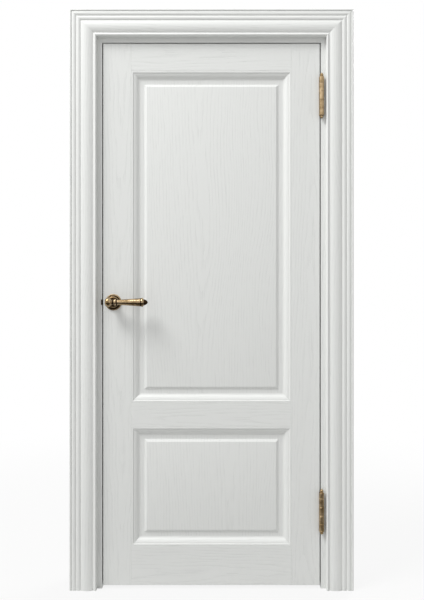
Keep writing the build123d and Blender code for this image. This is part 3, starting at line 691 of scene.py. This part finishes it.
hingeSpots = [(faceY + inset, middle + turn * rise) for middle in hingeMiddles
              for rise, inset in zip(screw["hingeRise"], screw["hingeInset"]) for turn in (-1, 1)]
screwGroups = {                                  # plane of the heads, way out, size, places, body
    "hinge_jamb_screws": (jambX, -1, "hinge", hingeSpots, "frame"),
    "hinge_leaf_screws": (leafX, 1, "hinge", hingeSpots, "leaf"),
    "latch_screws": (-leafX, -1, "latch", pair(screw["latchPitch"]), "leaf"),
    "strike_screws": (-jambX, 1, "latch", pair(screw["strikePitch"]), "frame"),
}
for node, (x, facing, size, spots, body) in screwGroups.items():
    radius, head, proud = screw[size]
    out = right * facing
    parts = []
    for index, (y, z) in enumerate(spots):
        way = Matrix.Rotation(index * screw["twist"], 3, "X") @ up
        place = placing(Vector((x + facing * proud, y, z)), way, out, way.cross(out))
        parts += [(part, place) for part in slottedScrew(radius, head)]
    finished(node + "_slotted", parts, hingeBrass, body, node)
print("screws slotted")

# A lip bent round the jamb's edge, which leads the bolt into the strike. It is near black: painted
# shade in the gap at the latch.
strikeLip = {"tall": 20, "reach": 4, "proud": 1.8, "thick": 2, "soft": 0.8, "clear": 0.3,
             "sunk": 0.2}
strikeLow, strikeHigh = corners("strike_plate")


def lipSection(mesh):                            # from the plate forward, round the jamb's edge
    reach, proud, soft, sunk = (strikeLip[key] for key in ("reach", "proud", "soft", "sunk"))
    thick, deep = strikeLip["thick"], strikeLow.y - faceY + soft
    pen = Pen(mesh, 0, deep).line((0, soft - proud))
    pen.arc(-soft, -proud, soft * quarter, 5)
    pen.line((soft - reach, -proud))
    pen.arc(-reach, soft - proud, soft * quarter, 5)
    pen.line((-reach, sunk), (-thick, sunk), (-thick, deep)).close()


lipFoot = Vector((strikeHigh.x + strikeLip["clear"], faceY, spindleZ - strikeLip["tall"] / 2))
lip = stick(lipSection, strikeLip["tall"], mitred=(False, False))
lipPlace = placing(lipFoot, right, into, up)
finished("strike_lip", [(lip, lipPlace)], paintedShadeBrass, "frame")
print("strike lipped")

# What keeps its CAD mesh
boards = {
    "hinge_stile": (False, 0.365, 1), "lock_stile": (False, -0.335, -1),
    "top_rail": (True, 1.98, 1), "middle_rail": (True, 0.63, -1), "bottom_rail": (True, 0.06, 1),
    "hinge_jamb": (False, 0.43, 1), "lock_jamb": (False, -0.43, 1), "head_jamb": (True, 2.03, 1),
    "hinge_stop": (False, 0.41, 1), "lock_stop": (False, -0.41, 1), "head_stop": (True, 2.02, 1),
}
shared = {
    sealRubber: ("hinge_seal", "lock_seal", "head_seal"),
    paintedShadeSteel: ("latch_bolt",),
    latchSteel: ("frame_corner_screws", "latch_case", "latch_follower", "spindle",
                 "rose_screws", "set_screws", "front_rose_plate", "back_rose_plate"),
    hingeBrass: ("strike_plate",),
    dowelBeech: ("rail_dowels",),
}


def refinished(node, finish):
    nodes[node].data.materials.clear()
    nodes[node].data.materials.append(finish)


for node, (isLevel, heart, lean) in boards.items():
    refinished(node, pressedAsh(f"{node}_ash", isLevel, heart, lean))
for finish, names in shared.items():
    for node in names:
        refinished(node, finish)
print("boards and fittings finished")

# Floor, light and camera
studio = {"floorHalf": 9.0, "floor": ((0.44, 0.44, 0.435, 1), (0.46, 0.46, 0.455, 1)),
          "specksPerMetre": 60, "floorGlow": 0.87, "glowFull": (1.2, 3.2), "white": (1, 1, 1, 1),
          "flag": ((-5, -6.5), (5, -0.3)), "flagLift": 0.01, "flagColour": (0.036, 0.030, 0.025, 1),
          "skyStrength": 0.61, "lampAim": (0, 0, 1.05), "eye": (0.002, -2.48, 1.0654), "lens": 39.78}


def paleFloor():
    finish = Finish("paleFloor", {"Roughness": 0.85})
    x, y, z = finish.axes()
    away = (x * x + y * y) ** 0.5
    speck = finish.noise(finish.place, studio["specksPerMetre"], 3.0)
    finish.shade("Base Color", finish.blend(speck, *studio["floor"]))
    glow = finish.node("ShaderNodeEmission", {}, {"Color": studio["white"]})
    least = studio["floorGlow"]
    share = least + (1 - least) * finish.clamp(away, *studio["glowFull"])
    whole = finish.node("ShaderNodeMixShader", {}, {
        0: share * finish.seen(), 1: Signal(finish, finish.shader.outputs[0]), 2: glow})
    finish.feed(finish.nodes["Material Output"], "Surface", whole)
    return finish.material


def sheet(name, low, high, z, finish):           # a level sheet of the studio
    mesh = bmesh.new()
    bmesh.ops.create_grid(mesh, x_segments=1, y_segments=1, size=0.5)
    bmesh.ops.scale(mesh, verts=mesh.verts, vec=(high[0] - low[0], high[1] - low[1], 1))
    middle = [(a + b) / 2 for a, b in zip(low, high)]
    bmesh.ops.translate(mesh, verts=mesh.verts, vec=(*middle, z))
    data = bpy.data.meshes.new(name)
    mesh.to_mesh(data)
    mesh.free()
    laid = bpy.data.objects.new(name, data)
    data.materials.append(finish)
    bpy.context.scene.collection.objects.link(laid)
    return laid


half = studio["floorHalf"]
sheet("floor", (-half, -half), (half, half), 0, paleFloor())

# A dark cloth on the floor before the door, seen only in reflections, darkens the brass from below
cloth = Finish("flagCloth", {"Base Color": studio["flagColour"], "Roughness": 1}).material
flag = sheet("flag", *studio["flag"], studio["flagLift"], cloth)
flag.visible_camera = flag.visible_diffuse = flag.visible_shadow = False

world = bpy.data.worlds.new("studio")
bpy.context.scene.world = world
sky = Tree(world)
strength = studio["skyStrength"] + (1 - studio["skyStrength"]) * sky.seen()
sky.feed(sky.nodes["Background"], "Color", studio["white"])
sky.feed(sky.nodes["Background"], "Strength", strength)

lamps = {                                        # power, size and place
    "keyLight": (548, 3.0, (-3.9, -2.75, 7.2)),
    "backLight": (330, 3.0, (3.4, 4.6, 5.2)),
}
for name, (power, size, place) in lamps.items():
    light = bpy.data.lights.new(name, "AREA")
    light.energy, light.size = power, size
    lamp = bpy.data.objects.new(name, light)
    lamp.location = place
    ray = Vector(studio["lampAim"]) - Vector(place)
    lamp.rotation_euler = ray.to_track_quat("-Z", "Y").to_euler()
    bpy.context.scene.collection.objects.link(lamp)

lens = bpy.data.cameras.new("eye")
lens.lens, lens.sensor_width, lens.sensor_fit = studio["lens"], 36, "AUTO"
eye = bpy.data.objects.new("eye", lens)
eye.location = studio["eye"]
eye.rotation_euler = (pi / 2, 0, 0)
bpy.context.scene.collection.objects.link(eye)
bpy.context.scene.camera = eye
bpy.context.scene.view_settings.view_transform = "Standard"
print("studio lit")
